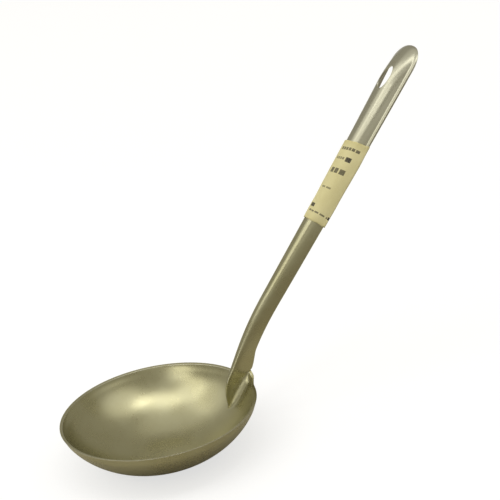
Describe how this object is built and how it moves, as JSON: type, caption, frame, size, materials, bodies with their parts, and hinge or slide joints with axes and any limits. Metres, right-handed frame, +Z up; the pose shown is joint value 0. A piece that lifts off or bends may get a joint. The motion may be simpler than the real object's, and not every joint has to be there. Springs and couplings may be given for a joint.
{
  "type": "ladle",
  "caption": "Kitchen ladle with a shallow round pressed bowl and a long tapered channel handle with a hang hole, wrapped in a plain paper band.",
  "frame": {"origin": "middle of the bowl's flat foot, on its underside", "axes": "+Z up with the rim level, +X from the bowl to the handle, +Y to the left of the handle"},
  "size_m": [0.2532, 0.1148, 0.1937],
  "materials": {
    "gold_aluminium": "satin, pale gold anodised",
    "label_paper": "matt cream paper"
  },
  "bodies": {
    "root": {"bowl": "gold_aluminium", "handle": "gold_aluminium", "neck_weld": "gold_aluminium", "paper_label": "label_paper"}
  },
  "joints": []
}
